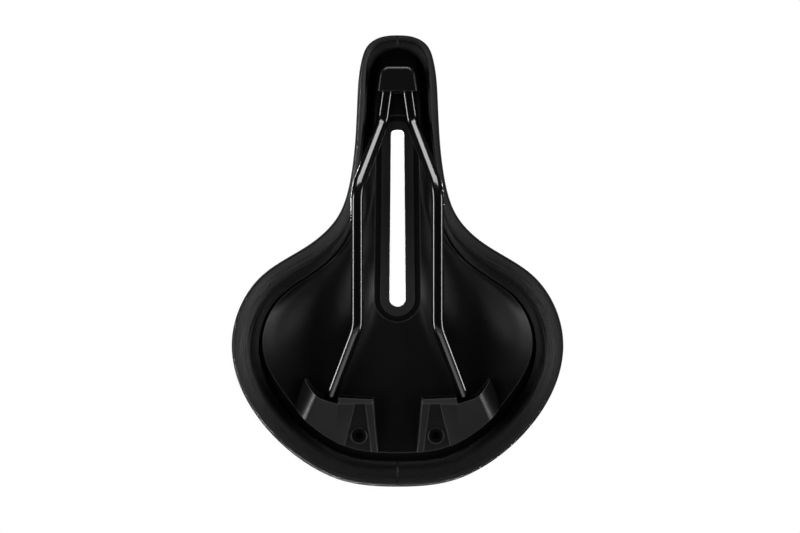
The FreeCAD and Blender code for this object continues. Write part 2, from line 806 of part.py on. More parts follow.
# ---------------------------------------------------------------- assembly

side_panel = lofted(cover_side_section)
parts = [
    plain_feature("base_shell", base_shell_shape()),
    plain_feature("rail", rail_shape()),
    nose_rail_cap(),
    channel_liner(),
    accessory_inserts(),
    plain_feature("foam_pad", both_sides(lofted(foam_section))),
    plain_feature("cover_top_panel", both_sides(lofted(cover_top_section))),
    plain_feature("cover_side_panel_left", side_panel),
    plain_feature("cover_side_panel_right", mirrored(side_panel)),
]
doc.recompute()

for feature in doc.Objects:
    if "Invalid" in feature.State or "Error" in feature.State:
        raise RuntimeError("%s is in state %s" % (feature.Label, feature.State))

for part in parts:
    shape = part.Shape
    if shape.isNull() or not shape.isValid():
        raise RuntimeError("%s has no valid shape" % part.Label)
    print(part.Label, len(shape.Solids), round(shape.Volume, 1), shape.BoundBox)
    shape.exportStep("parts/%s.step" % part.Label)
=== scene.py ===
import math

import bpy
import numpy as np
from mathutils import Matrix, Vector


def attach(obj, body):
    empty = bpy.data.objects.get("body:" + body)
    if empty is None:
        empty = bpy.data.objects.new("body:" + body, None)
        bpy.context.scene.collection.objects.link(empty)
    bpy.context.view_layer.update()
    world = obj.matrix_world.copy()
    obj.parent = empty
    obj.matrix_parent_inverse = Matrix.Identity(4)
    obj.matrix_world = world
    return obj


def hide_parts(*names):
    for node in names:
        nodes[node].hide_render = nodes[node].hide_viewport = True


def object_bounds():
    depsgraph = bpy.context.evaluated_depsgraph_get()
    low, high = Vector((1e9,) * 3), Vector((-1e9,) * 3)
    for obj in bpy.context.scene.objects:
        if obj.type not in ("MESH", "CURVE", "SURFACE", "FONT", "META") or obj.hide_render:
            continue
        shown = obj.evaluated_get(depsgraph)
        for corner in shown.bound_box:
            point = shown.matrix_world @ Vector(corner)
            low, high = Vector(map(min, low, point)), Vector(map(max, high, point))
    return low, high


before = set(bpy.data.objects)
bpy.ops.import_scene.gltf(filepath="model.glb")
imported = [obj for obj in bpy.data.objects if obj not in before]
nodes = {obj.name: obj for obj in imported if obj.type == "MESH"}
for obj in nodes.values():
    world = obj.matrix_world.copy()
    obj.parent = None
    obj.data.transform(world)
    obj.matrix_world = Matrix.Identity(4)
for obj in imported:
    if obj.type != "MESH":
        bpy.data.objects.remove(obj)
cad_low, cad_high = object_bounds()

# A bicycle saddle seen from underneath. Shapes are worked out in mm and made in metres.
# X points to the nose, Y to the rider's left, Z up.

MM = 0.001

# ---------------------------------------------------------------- smooth helpers


def ease(start, end, x):
    """Zero before start, one after end, smooth between them."""
    part = np.clip((x - start) / (end - start), 0.0, 1.0)
    return part * part * (3 - 2 * part)


def along(keys, x):
    """A smooth value through (place, value) pairs listed in falling order of place."""
    places = np.array([key[0] for key in keys], float)[::-1]
    values = np.array([key[1] for key in keys], float)[::-1]
    slopes = np.diff(values) / np.diff(places)
    turns = np.concatenate([[0], (slopes[1:] + slopes[:-1]) / 2, [0]])
    x = np.clip(x, places[0], places[-1])
    index = np.clip(np.searchsorted(places, x, side="right") - 1, 0, len(places) - 2)
    span = places[index + 1] - places[index]
    part = (x - places[index]) / span
    value = values[index] + (values[index + 1] - values[index]) * part**2 * (3 - 2 * part)
    value += turns[index] * span * part * (1 - part) ** 2
    return value - turns[index + 1] * span * part**2 * (1 - part)


def cubic(knots, values, closed=False):
    """The smooth curve through values at knots, as a function of the place between the knots."""
    knots = np.array(knots, float)
    values = np.array(values, float)
    steps = np.diff(knots)
    slopes = np.diff(values, axis=0) / steps[:, None]
    count = len(knots)
    matrix = np.zeros((count, count))
    right = np.zeros(values.shape)
    for i in range(1, count - 1):
        matrix[i, i - 1 : i + 2] = steps[i - 1], 2 * (steps[i - 1] + steps[i]), steps[i]
        right[i] = 6 * (slopes[i] - slopes[i - 1])
    if closed:
        matrix[0, 0], matrix[0, -1] = 1, -1
        matrix[-1, 0], matrix[-1, 1] = 2 * steps[0], steps[0]
        matrix[-1, -2], matrix[-1, -1] = steps[-1], 2 * steps[-1]
        right[-1] = 6 * (slopes[0] - slopes[-1])
    else:
        matrix[0, 0] = matrix[-1, -1] = 1
    bends = np.linalg.solve(matrix, right)

    def value(u):
        i = np.clip(np.searchsorted(knots, u, side="right") - 1, 0, count - 2)
        step = steps[i][:, None]
        p = ((u - knots[i])[:, None]) / step
        q = 1 - p
        line = q * values[i] + p * values[i + 1]
        return line + ((q**3 - q) * bends[i] + (p**3 - p) * bends[i + 1]) * step**2 / 6

    return value


# ---------------------------------------------------------------- the saddle's plan, as in the CAD source

OUTLINE = [
    (130.5, 0),
    (129.4, 9.5),
    (125.0, 16.6),
    (116.5, 20.3),
    (94, 22.8),
    (71, 24.0),
    (49, 26.7),
    (29, 33.2),
    (13, 48.6),
    (-6, 77.2),
    (-22, 88.5),
    (-45, 93.7),
    (-70, 88.2),
    (-93, 73.6),
    (-110.3, 54.6),
    (-121.8, 32),
    (-125.5, 0),
]
OUTLINE_SAMPLES = 6001
SLOT_FRONT, SLOT_REAR = 76.3, 23.0
SLOT_FRONT_HALF, SLOT_FRONT_CORNER, SLOT_REAR_RADIUS = 3.7, 2.4, 4.55
LINER_WALL, WALL, GAP = 1.1, 1.5, 0.4
SHELL_THICKNESS, SHELL_SLOT_HEIGHT, REBATE_REACH = 3.2, 33.0, 8.4
SEAM_DROP, SEAM_INSET = 3.8, 1.1
SIDE_FALL, ROLL_TO_LIP = 0.0012, 0.5


def outline_table():
    """Close steps along the left half outline: length so far, place and inward direction."""
    loop = OUTLINE + [(x, -y) for x, y in OUTLINE[-2:0:-1]] + OUTLINE[:1]
    steps = np.linalg.norm(np.diff(np.array(loop, float), axis=0), axis=1)
    knots = np.concatenate([[0], np.cumsum(steps)])
    curve = cubic(knots, loop, closed=True)
    points = curve(np.linspace(0, knots[len(OUTLINE) - 1], OUTLINE_SAMPLES))
    lengths = np.concatenate([[0], np.cumsum(np.linalg.norm(np.diff(points, axis=0), axis=1))])
    slopes = np.gradient(points, axis=0)
    slopes[0] = 0, 1
    slopes[-1] = 0, -1
    slopes /= np.linalg.norm(slopes, axis=1)[:, None]
    inward = np.stack([-slopes[:, 1], slopes[:, 0]], axis=1)
    return lengths, points, inward


LENGTHS, POINTS, INWARD = outline_table()
HALF_LENGTH = LENGTHS[-1]

# Distance along the slot's left half, from its front end, that faces each share of the outline.
SLOT_HALF_LENGTH = 117.8
SLOT_SHARES = [0, 0.1, 0.3, 0.52, 0.7, 0.84, 1]
SLOT_MATCH = cubic(SLOT_SHARES, [[0], [12], [44], [79], [102], [111], [SLOT_HALF_LENGTH]])


def outline_at(t):
    """The outline's points and inward directions at shares t of its half length."""
    place = np.asarray(t) * HALF_LENGTH
    edge = np.stack([np.interp(place, LENGTHS, POINTS[:, k]) for k in (0, 1)], axis=1)
    inward = np.stack([np.interp(place, LENGTHS, INWARD[:, k]) for k in (0, 1)], axis=1)
    return edge, inward / np.linalg.norm(inward, axis=1)[:, None]


def slot_at(t, reach):
    """The points on the slot's edge, moved out by reach, that face the outline's points at t."""
    front = SLOT_FRONT - SLOT_FRONT_CORNER
    flat = SLOT_FRONT_HALF - SLOT_FRONT_CORNER
    rear = -SLOT_REAR + SLOT_REAR_RADIUS
    front_radius, rear_radius = SLOT_FRONT_CORNER + reach, SLOT_REAR_RADIUS + reach
    flank = front - rear
    arc = (SLOT_HALF_LENGTH - flank) / 2
    place = np.clip(SLOT_MATCH(np.asarray(t, float))[:, 0], 0, SLOT_HALF_LENGTH)
    end = flat / (flat + math.pi / 2 * front_radius)
    part = place / arc
    turn = np.clip((part - end) / (1 - end), 0, 1) * math.pi / 2
    ahead_x = front + np.cos(turn) * front_radius
    ahead_y = flat * np.clip(part / end, 0, 1) + np.sin(turn) * front_radius
    ahead = np.stack([ahead_x, ahead_y], axis=1)
    share = np.clip((place - arc) / flank, 0, 1)[:, None]
    beside = np.array([front, flat + front_radius]) * (1 - share) + np.array([rear, rear_radius]) * share
    turn = math.pi / 2 * (1 + (place - arc - flank) / arc)
    behind = np.stack([rear + np.cos(turn) * rear_radius, np.sin(turn) * rear_radius], axis=1)
    place = place[:, None]
    return np.where(place < arc, ahead, np.where(place > arc + flank, behind, beside))


# ---------------------------------------------------------------- heights and widths, as in the CAD source


def edge_height(x):
    return along([(130, 41), (60, 42), (0, 39), (-60, 40), (-125, 47)], x)


def top_height(x, y):
    return along([(130, 51), (60, 54), (0, 55), (-90, 63), (-126, 63)], x) - SIDE_FALL * y * y


def crown_radius(x):
    return along([(130, 17), (100, 12), (40, 13), (-20, 36), (-80, 38), (-125, 30)], x)


def roll_width(x):
    nose = [(130.5, 9.8), (125, 9.6), (116, 7.0), (104, 5.9), (85, 5.8), (70, 4.9), (45, 5.2)]
    return along(nose + [(12, 14), (-30, 16), (-125, 15.5)], x)


def roll_depth(x):
    return along([(130, 10), (110, 12), (60, 12), (0, 14), (-50, 16), (-125, 18)], x)


def shell_edge_height(x):
    return along([(125, 38), (85, 37), (60, 34), (0, 31), (-50, 29), (-110, 27.5)], x)


def lip_width(x):
    return along([(130, 0.9), (20, 0.9), (-50, 1.6), (-85, 5), (-110, 5)], x)


def arch(share):
    """How far the shell's underside bulges up, from the slot (0) to the rim (1)."""
    return 1 - (1 - share / 0.5) ** 2.3 if share < 0.5 else 1 - ((share - 0.5) / 0.5) ** 2


def valley_depth(x):
    front = [(120, 0.1), (45, 0.7), (18, 2.5), (-20, 7.8)]
    return along(front + [(-60, 9.0), (-85, 6.2), (-103, 1.5), (-113, 0)], x)


# ---------------------------------------------------------------- sections, one row of points per station

CHANNEL_DEPTH, CHANNEL_WIDTH = 6.0, 13
MOUTH_WIDTH, MOUTH_DEPTH = 1.6, 2.2
SLOT_WALL_FOOT = 36.6
CROWN_SHARE, CROWN_POWER = 0.62, 2.2
TUCK_POWER = 1.8


def column(place, height):
    """One point per station, at the given places in plan and heights."""
    return np.stack([place[:, :1], place[:, 1:], height], axis=2)


def seat_rows(t):
    """The seat's surface at each station, from the slot's wall over the crown to the seam."""
    edge, inward = outline_at(t)
    start = slot_at(t, LINER_WALL + GAP)
    span = edge - start
    reach = np.linalg.norm(span, axis=1)[:, None]
    outward = span / reach
    edge_x = edge[:, :1]
    rim = np.minimum(crown_radius(edge_x), reach * CROWN_SHARE)
    base = edge_height(edge_x)

    def surface(distance):
        x = start[:, :1] + outward[:, :1] * distance
        y = start[:, 1:] + outward[:, 1:] * distance
        height = top_height(x, y)
        beside_slot = 1 - ease(-2, CHANNEL_WIDTH, distance)
        height = height - CHANNEL_DEPTH * beside_slot * ease(0, 4, reach - CHANNEL_WIDTH)
        rest = np.clip((reach - distance) / rim, 0, 1)
        height = base + (height - base) * np.sqrt(np.maximum(1 - (1 - rest) ** CROWN_POWER, 0))
        return np.stack([x, y, height], axis=2)

    wall_top = surface(MOUTH_WIDTH * np.ones_like(reach))[:, :, 2]
    columns = []
    for share in np.linspace(0, 0.85, 5):
        height = SLOT_WALL_FOOT + (wall_top - MOUTH_DEPTH - SLOT_WALL_FOOT) * share
        columns.append(column(start, height))
    for angle in np.radians(np.linspace(0, 80, 8)):
        place = start + outward * (MOUTH_WIDTH * (1 - math.cos(angle)))
        columns.append(column(place, wall_top - MOUTH_DEPTH * (1 - math.sin(angle))))
    inner = reach - rim
    for share in np.linspace(0, 1, 26) ** 1.25:
        columns.append(surface(MOUTH_WIDTH + (inner - MOUTH_WIDTH) * share))
    for angle in np.radians(np.linspace(4, 88, 22)):
        columns.append(surface(inner + rim * math.sin(angle)))
    for drop in np.linspace(0, SEAM_DROP, 8):
        place = edge + inward * SEAM_INSET * (drop / SEAM_DROP) ** TUCK_POWER
        columns.append(column(place, base - drop))
    return np.concatenate(columns, axis=1)


# The rolled rim's section as shares of its width and its depth, round the body and at the nose tip.
ROLL = [(0, 0), (0.03, 0.26), (0.12, 0.52), (0.28, 0.75), (0.5, 0.92), (0.72, 1), (0.9, 0.9), (1, 0.62)]
NOSE_ROLL = [(0, 0), (0.03, 0.3), (0.12, 0.6), (0.28, 0.85), (0.48, 0.96), (0.7, 0.8), (0.88, 0.46)]
NOSE_ROLL += [(1, 0.14)]
ROLL_CURVE = cubic(range(len(ROLL)), ROLL)
NOSE_CURVE = cubic(range(len(NOSE_ROLL)), NOSE_ROLL)
NOSE_START, NOSE_END = 102, 124
PANEL_GAP = 0.3


def roll_rows(t, skin=0.0, count=40):
    """The rolled rim at each station, from the seam to the shell's edge, skin inside the surface."""
    edge, inward = outline_at(t)
    x = edge[:, :1]
    nose = ease(NOSE_START, NOSE_END, x)[:, :, None]
    places = np.linspace(0, len(ROLL) - 1, count)
    shape = ROLL_CURVE(places)[None] * (1 - nose) + NOSE_CURVE(places)[None] * nose
    width = roll_width(x) - SEAM_INSET - 2 * skin
    depth = roll_depth(x) - skin
    reach = SEAM_INSET + skin + width * shape[:, :, 0]
    height = edge_height(x) - SEAM_DROP - PANEL_GAP - depth * shape[:, :, 1]
    place_x = edge[:, :1] + inward[:, :1] * reach
    place_y = edge[:, 1:] + inward[:, 1:] * reach
    return np.stack([place_x, place_y, height], axis=2)


def underside_rows(t, lift):
    """The foam's underside at each station, lift above the shell's underside."""
    edge, inward = outline_at(t)
    x = edge[:, :1]
    start = slot_at(t, REBATE_REACH)
    end = edge + inward * (roll_width(x) + ROLL_TO_LIP + lip_width(x))
    slope = shell_edge_height(x) - SHELL_SLOT_HEIGHT
    columns = []
    for share in np.linspace(0, 1, 20) ** 1.4:
        place = start + (end - start) * share
        height = SHELL_SLOT_HEIGHT + slope * share**2.2 + valley_depth(x) * arch(share)
        columns.append(column(place, height + lift))
    return np.concatenate(columns, axis=1)


def level_side(t):
    """The level direction square to each section."""
    across = outline_at(t)[0] - slot_at(t, 0)
    across /= np.linalg.norm(across, axis=1)[:, None]
    return np.stack([-across[:, 1], across[:, 0], np.zeros(len(across))], axis=1)


def moved_in(rows, amount, t):
    """The same rows moved by amount to their inner side, within their own sections."""
    along_row = np.gradient(rows, axis=1)
    normal = np.cross(level_side(t)[:, None, :], along_row)
    normal /= np.linalg.norm(normal, axis=2)[:, :, None]
    return rows + normal * amount


# ---------------------------------------------------------------- meshes


def make_object(name, points, faces, fields=None):
    """A smooth-shaded object from points in mm, with number fields on its points."""
    mesh = bpy.data.meshes.new(name)
    mesh.from_pydata((points * MM).tolist(), [], faces)
    mesh.update()
    mesh.polygons.foreach_set("use_smooth", np.ones(len(mesh.polygons), bool))
    for key, values in (fields or {}).items():
        attribute = mesh.attributes.new(key, "FLOAT", "POINT")
        attribute.data.foreach_set("value", values.astype(np.float32).ravel())
    obj = bpy.data.objects.new(name, mesh)
    bpy.context.scene.collection.objects.link(obj)
    return obj


def grid_faces(rows, columns, wrap_rows):
    """Faces of a grid of points numbered row by row, whose columns close on themselves."""
    faces = []
    for i in range(rows if wrap_rows else rows - 1):
        for j in range(columns):
            a, b = i * columns + j, i * columns + (j + 1) % columns
            c, d = ((i + 1) % rows) * columns + (j + 1) % columns, ((i + 1) % rows) * columns + j
            faces.append((a, d, c, b))
    return faces


def ring_object(name, rows, fields):
    """A closed piece whose left half sections are repeated on the right."""
    right = rows[-2:0:-1] * np.array([1, -1, 1])
    whole = np.concatenate([rows, right])
    spread = {key: np.concatenate([value, value[-2:0:-1]]) for key, value in fields.items()}
    faces = grid_faces(len(whole), whole.shape[1], True)
    return make_object(name, whole.reshape(-1, 3), faces, spread)


def bar_object(name, rows, fields, side):
    """A closed piece made of sections from end to end, on the left (side 1) or the right (-1)."""
    placed = rows * np.array([1, side, 1])
    count, across = rows.shape[:2]
    faces = grid_faces(count, across, False)
    faces.append(tuple(range(across)))
    faces.append(tuple(range((count - 1) * across, count * across))[::-1])
    if side < 0:
        faces = [face[::-1] for face in faces]
    return make_object(name, placed.reshape(-1, 3), faces, fields)


SEED = 11
WAVE_COUNT, WAVE_TURN = 24, 2.4
rng = np.random.default_rng(SEED)
WAVES = [(rng.normal(0, 1, 3), rng.uniform(0, 6.28)) for _ in range(WAVE_COUNT)]
END_CROWDING = 0.06


def unevenness(points, bumps):
    """A gentle random height at each point, from bumps listed as (size across, height)."""
    total = np.zeros(points.shape[:-1])
    for size, height in bumps:
        waves = sum(np.sin(points @ (turn * WAVE_TURN / size) + phase) for turn, phase in WAVES)
        total += waves / math.sqrt(WAVE_COUNT) * height
    return total


def stations(count):
    """Shares of the outline's length, closer together at both ends."""
    u = np.linspace(0, 1, count)
    return u - END_CROWDING * np.sin(2 * math.pi * u) / math.pi


# ---------------------------------------------------------------- soft pieces

COVER_STATIONS, FOAM_STATIONS = 300, 140
INNER_COUNT, FOAM_ROLL_COUNT = 16, 14
CROWN_COLUMNS = slice(14, -6)
CURL_ANGLES, CURL_IN, CURL_DROP = (25, 50, 75, 90), 1.12, 0.168
JOINT_MARGIN = 0.02
JOINT_DIP, JOINT_DIP_REACH = 0.07, 0.5
DRAWN_IN, DRAWN_IN_DEPTH = 0.8, 2.2
FAR_FROM_SEAM = 100.0

# Unevenness as (size across, height): the crown, the rolled rim and the foam's skin.
CROWN_BUMPS = [(26, 0.10), (9, 0.03)]
ROLL_BUMPS = [(14, 0.08), (5, 0.03)]
FOAM_BUMPS = [(3.0, 0.06)]


def curl(rows, t, at_end):
    """Turns the end or the start of each row inwards, as a panel's edge turns into its seam."""
    turned = np.zeros((len(t), 3))
    turned[:, :2] = outline_at(t)[1]
    last = rows[:, -1] if at_end else rows[:, 0]
    drop = np.array([0, 0, -CURL_DROP if at_end else CURL_DROP])
    extra = []
    for angle in np.radians(CURL_ANGLES):
        extra.append(last + turned * ((1 - math.cos(angle)) * CURL_IN) + drop * math.sin(angle))
    extra = np.stack(extra, axis=1)
    if at_end:
        return np.concatenate([rows, extra], axis=1)
    return np.concatenate([extra[:, ::-1], rows], axis=1)


def panel_ring(outer, inner, t, seam_last):
    """A panel's closed sections, with fields for its leather: place along the seam, distance from it."""
    ring = np.concatenate([outer, inner[:, ::-1]], axis=1)
    lengths = np.linalg.norm(np.diff(outer, axis=1), axis=2)
    start = np.zeros((len(t), 1))
    if seam_last:
        from_seam = np.concatenate([np.cumsum(lengths[:, ::-1], axis=1)[:, ::-1], start], axis=1)
    else:
        from_seam = np.concatenate([start, np.cumsum(lengths, axis=1)], axis=1)
    seam = np.full(ring.shape[:2], FAR_FROM_SEAM)
    seam[:, : outer.shape[1]] = from_seam
    place = np.repeat(t[:, None] * HALF_LENGTH, ring.shape[1], axis=1)
    return ring, {"along": place, "seam": seam}


def cover_top():
    """The cover's top panel, slightly uneven on the crown."""
    t = stations(COVER_STATIONS)
    outer = seat_rows(t)
    outer[:, CROWN_COLUMNS, 2] += unevenness(outer, CROWN_BUMPS)[:, CROWN_COLUMNS]
    inner = moved_in(outer, WALL, t)
    ring, fields = panel_ring(curl(outer, t, True), inner, t, True)
    return ring_object("seat_cover_top", ring, fields)


def cover_side(name, side):
    """One of the cover's two side panels, dipping at its joints and drawn in at the seam."""
    margin = JOINT_MARGIN / HALF_LENGTH
    t = np.clip(stations(COVER_STATIONS), margin, 1 - margin)
    outer = roll_rows(t)
    inner = roll_rows(t, WALL, INNER_COUNT)
    place = t * HALF_LENGTH
    from_joint = np.minimum(place, HALF_LENGTH - place)[:, None]
    dip = (JOINT_DIP * np.exp(-((from_joint / JOINT_DIP_REACH) ** 2)))[:, :, None]
    outer = moved_in(outer, 1.0, t) * dip + outer * (1 - dip)
    below_seam = outer[:, :1, 2] - outer[:, :, 2]
    drawn_in = DRAWN_IN * np.exp(-((below_seam / DRAWN_IN_DEPTH) ** 2))
    outer[:, :, :2] += outline_at(t)[1][:, None, :] * drawn_in[:, :, None]
    outer[:, :, 2] += unevenness(outer, ROLL_BUMPS)
    ring, fields = panel_ring(curl(outer, t, False), inner, t, False)
    return bar_object(name, ring, fields, side)


def foam_pad():
    """The foam between the cover and the shell, with a slightly uneven skin."""
    t = stations(FOAM_STATIONS)
    top = moved_in(seat_rows(t)[:, ::2], WALL + GAP, t)
    roll = roll_rows(t, WALL + GAP, FOAM_ROLL_COUNT)
    below = underside_rows(t, SHELL_THICKNESS + 3 * GAP)
    below[:, 0, :2] = top[:, 0, :2]
    below[:, -1, :2] = roll[:, -1, :2]
    ring = np.concatenate([top, roll, below[:, ::-1]], axis=1)
    ring[:, :, 2] += unevenness(ring, FOAM_BUMPS)
    return ring_object("seat_foam", ring, {})


# ---------------------------------------------------------------- material helpers


def new_material(name, **values):
    """A material with uniform values set on its shader's own sockets."""
    made = bpy.data.materials.new(name)
    made.use_nodes = True
    shader = made.node_tree.nodes["Principled BSDF"]
    for socket, value in values.items():
        shader.inputs[socket.replace("_", " ")].default_value = value
    return made, made.node_tree, shader


def feed(tree, node, inputs):
    """Links each given socket to the node's input, or sets the input to the given value."""
    for key, value in inputs.items():
        if isinstance(value, bpy.types.NodeSocket):
            tree.links.new(value, node.inputs[key])
        else:
            node.inputs[key].default_value = value


def add(tree, kind, inputs=None, **settings):
    node = tree.nodes.new(kind)
    for key, value in settings.items():
        setattr(node, key, value)
    feed(tree, node, inputs or {})
    return node


def position(tree):
    return add(tree, "ShaderNodeTexCoord").outputs["Object"]


def noise(tree, scale, detail=2.0, rough=0.5, place=None):
    if place is None:
        place = position(tree)
    inputs = {"Vector": place, "Scale": scale, "Detail": detail, "Roughness": rough}
    return add(tree, "ShaderNodeTexNoise", inputs).outputs["Fac"]


def cells(tree, scale, feature="F1"):
    inputs = {"Vector": position(tree), "Scale": scale}
    return add(tree, "ShaderNodeTexVoronoi", inputs, feature=feature).outputs["Distance"]


def field(tree, name):
    return add(tree, "ShaderNodeAttribute", attribute_name=name).outputs["Fac"]


def remap(tree, value, low, high, new_low, new_high):
    inputs = {"Value": value, "From Min": low, "From Max": high, "To Min": new_low, "To Max": new_high}
    return add(tree, "ShaderNodeMapRange", inputs).outputs["Result"]


def math_node(tree, operation, first, second=0):
    return add(tree, "ShaderNodeMath", {0: first, 1: second}, operation=operation).outputs[0]


def times(tree, first, second):
    return math_node(tree, "MULTIPLY", first, second)


def bump(tree, height, distance, strength=1.0, before=None):
    inputs = {"Height": height, "Distance": distance, "Strength": strength}
    if before is not None:
        inputs["Normal"] = before
    return add(tree, "ShaderNodeBump", inputs).outputs["Normal"]


def bevel(tree, radius):
    return add(tree, "ShaderNodeBevel", {"Radius": radius}, samples=6).outputs["Normal"]


def mixed(tree, share, first, second):
    """A blend of two colours, each a socket or red, green and blue values."""
    node = add(tree, "ShaderNodeMix", {"Factor": share}, data_type="RGBA")
    for index, value in ((6, first), (7, second)):
        feed(tree, node, {index: value if isinstance(value, bpy.types.NodeSocket) else (*value, 1)})
    return node.outputs[2]


# ---------------------------------------------------------------- materials

SEAM_PITCH = 3.4
# The pale colour of the painted highlight on moulded edges.
PAINTED_EDGE_HIGHLIGHT = (0.11, 0.11, 0.113)
SCUFFED = (0.03, 0.03, 0.032)


def leather(name, dark, light, grain, rough, specular, seam_shade, pull):
    """Synthetic leather: grain, fine pores, a drawn-in seam, and stretch marks along the panel by pull, with
    painted shade in the grain's creases and towards the seam, and painted shade and highlight on the stretch
    marks.
    """
    made, tree, shader = new_material(
        name, Sheen_Weight=0.12, Sheen_Roughness=0.45, Specular_IOR_Level=specular
    )
    crease = remap(tree, cells(tree, grain, "DISTANCE_TO_EDGE"), 0.0, 0.16, 0.0, 1.0)
    pores = noise(tree, grain * 3.1, 3.0, 0.6)
    broad = noise(tree, 38.0, 3.0)
    along_seam = field(tree, "along")
    from_seam = field(tree, "seam")

    near = remap(tree, from_seam, 0.4, 3.4, 1.0, 0.0)
    pucker = math_node(tree, "SINE", times(tree, along_seam, 2 * math.pi / SEAM_PITCH))
    stretched = {0: times(tree, along_seam, 0.03), 1: times(tree, from_seam, 0.4)}
    place = add(tree, "ShaderNodeCombineXYZ", stretched).outputs[0]
    stretch = noise(tree, 1.0, 4.0, 0.6, place)
    normal = bump(tree, times(tree, pucker, near), 0.00016, 0.8)
    if pull:
        normal = bump(tree, stretch, 0.0009, pull, normal)
    normal = bump(tree, crease, 0.00007, 0.7, normal)
    normal = bump(tree, pores, 0.00003, 0.5, normal)
    tree.links.new(normal, shader.inputs["Normal"])

    # Painted shade: the colour is darker in the grain's creases, where the crease bump is low.
    shade = times(tree, crease, remap(tree, broad, 0.3, 0.7, 0.7, 1.0))
    # Painted shade: the colour darkens towards the seam, fully within 1 mm of it and fading out by seam_shade
    # mm.
    shade = times(tree, shade, remap(tree, from_seam, 1.0, seam_shade, 0.0, 1.0))
    # Painted shade and highlight: the colour is lighter on the stretch marks' ridges and darker in their
    # troughs, by pull.
    shade = times(tree, shade, remap(tree, stretch, 0.3, 0.7, 1.0 - 0.4 * pull, 1.0 + 0.4 * pull))
    # The darker colour that the painted shade blends towards.
    deep = tuple(0.3 * value for value in dark)
    tree.links.new(mixed(tree, shade, deep, light), shader.inputs["Base Color"])

    worn = math_node(tree, "ADD", broad, times(tree, pores, 0.5))
    in_seam = remap(tree, from_seam, 1.0, 2.2, 0.9, 0.0)
    roughness = math_node(tree, "MAXIMUM", remap(tree, worn, 0.5, 1.0, *rough), in_seam)
    tree.links.new(roughness, shader.inputs["Roughness"])
    return made


def plastic(name, dark, light, spark, rough, depth, edge, edge_highlight=0.0):
    """Moulded plastic: spark texture, slight flow marks, soft edges, and a painted highlight that makes edges
    paler where they stick out.
    """
    made, tree, shader = new_material(name)
    fine = noise(tree, spark, 2.0, 0.6)
    flow = noise(tree, 16.0, 4.0, 0.55)
    normal = bump(tree, flow, 0.0012, 0.15, bevel(tree, edge))
    normal = bump(tree, fine, depth, 0.6, normal)
    tree.links.new(normal, shader.inputs["Normal"])
    colour = mixed(tree, flow, dark, light)
    # Painted highlight: where the rounded normal leaves the flat one, at edges, the colour turns paler.
    if edge_highlight:
        flat = add(tree, "ShaderNodeNewGeometry").outputs["Normal"]
        inputs = {0: flat, 1: bevel(tree, 0.0011)}
        facing = add(tree, "ShaderNodeVectorMath", inputs, operation="DOT_PRODUCT").outputs["Value"]
        colour = mixed(tree, remap(tree, facing, 0.99, 0.94, 0.0, edge_highlight), colour, PAINTED_EDGE_HIGHLIGHT)
    tree.links.new(colour, shader.inputs["Base Color"])
    worn = math_node(tree, "ADD", flow, times(tree, fine, 0.4))
    tree.links.new(remap(tree, worn, 0.4, 1.0, *rough), shader.inputs["Roughness"])
    return made


def painted_steel(name, colour):
    """Gloss black coat on drawn wire, with a faint orange peel and tiny scuffs."""
    made, tree, shader = new_material(name, Coat_Weight=1.0, Coat_Roughness=0.11)
    peel = noise(tree, 420.0, 2.0, 0.5)
    scuff = noise(tree, 900.0, 5.0, 0.7)
    normal = bump(tree, peel, 0.00002, 0.12)
    tree.links.new(normal, shader.inputs["Normal"])
    tree.links.new(normal, shader.inputs["Coat Normal"])
    tint = remap(tree, scuff, 0.6, 0.75, 0.0, 0.1)
    tree.links.new(mixed(tree, tint, colour, SCUFFED), shader.inputs["Base Color"])
    tree.links.new(remap(tree, scuff, 0.45, 0.75, 0.16, 0.3), shader.inputs["Roughness"])
    return made


def foam_material(name):
    """Closed-skin foam with fine cells, with painted shade in their pits."""
    made, tree, shader = new_material(name)
    holes = cells(tree, 1500.0)
    tree.links.new(bump(tree, holes, 0.0004, 0.8), shader.inputs["Normal"])
    # Painted shade: darker in the cells' pits, where the bump is low.
    shade = mixed(tree, remap(tree, holes, 0.1, 0.7, 0, 1), (0.018, 0.018, 0.02), (0.06, 0.06, 0.065))
    tree.links.new(shade, shader.inputs["Base Color"])
    tree.links.new(remap(tree, holes, 0.0, 0.7, 0.8, 0.95), shader.inputs["Roughness"])
    return made


def give(obj, material):
    obj.data.materials.clear()
    obj.data.materials.append(material)


SHELL = plastic(
    "shell_plastic",
    dark=(0.0045, 0.0045, 0.0048),
    light=(0.008, 0.008, 0.0085),
    spark=2600.0,
    rough=(0.3, 0.42),
    depth=0.00004,
    edge=0.0006,
    edge_highlight=0.8,
)
CAP = plastic(
    "cap_plastic",
    dark=(0.003, 0.003, 0.0032),
    light=(0.0042, 0.0042, 0.0044),
    spark=3200.0,
    rough=(0.22, 0.3),
    depth=0.00002,
    edge=0.0014,
)
LINER = plastic(
    "liner_plastic",
    dark=(0.033, 0.033, 0.034),
    light=(0.046, 0.046, 0.047),
    spark=2200.0,
    rough=(0.4, 0.52),
    depth=0.00004,
    edge=0.0003,
)
RAIL = painted_steel("rail_steel", (0.0012, 0.0012, 0.0013))
INSERT = painted_steel("insert_steel", (0.012, 0.012, 0.0125))
TOP = leather(
    "cover_top",
    dark=(0.008, 0.008, 0.0085),
    light=(0.019, 0.019, 0.02),
    grain=900.0,
    rough=(0.46, 0.6),
    specular=0.22,
    seam_shade=1.8,
    pull=0.0,
)
SIDE = leather(
    "cover_side",
    dark=(0.009, 0.009, 0.0095),
    light=(0.022, 0.022, 0.0235),
    grain=1100.0,
    rough=(0.42, 0.55),
    specular=0.36,
    seam_shade=4.5,
    pull=1.0,
)
FOAM = foam_material("foam")

# ---------------------------------------------------------------- the saddle

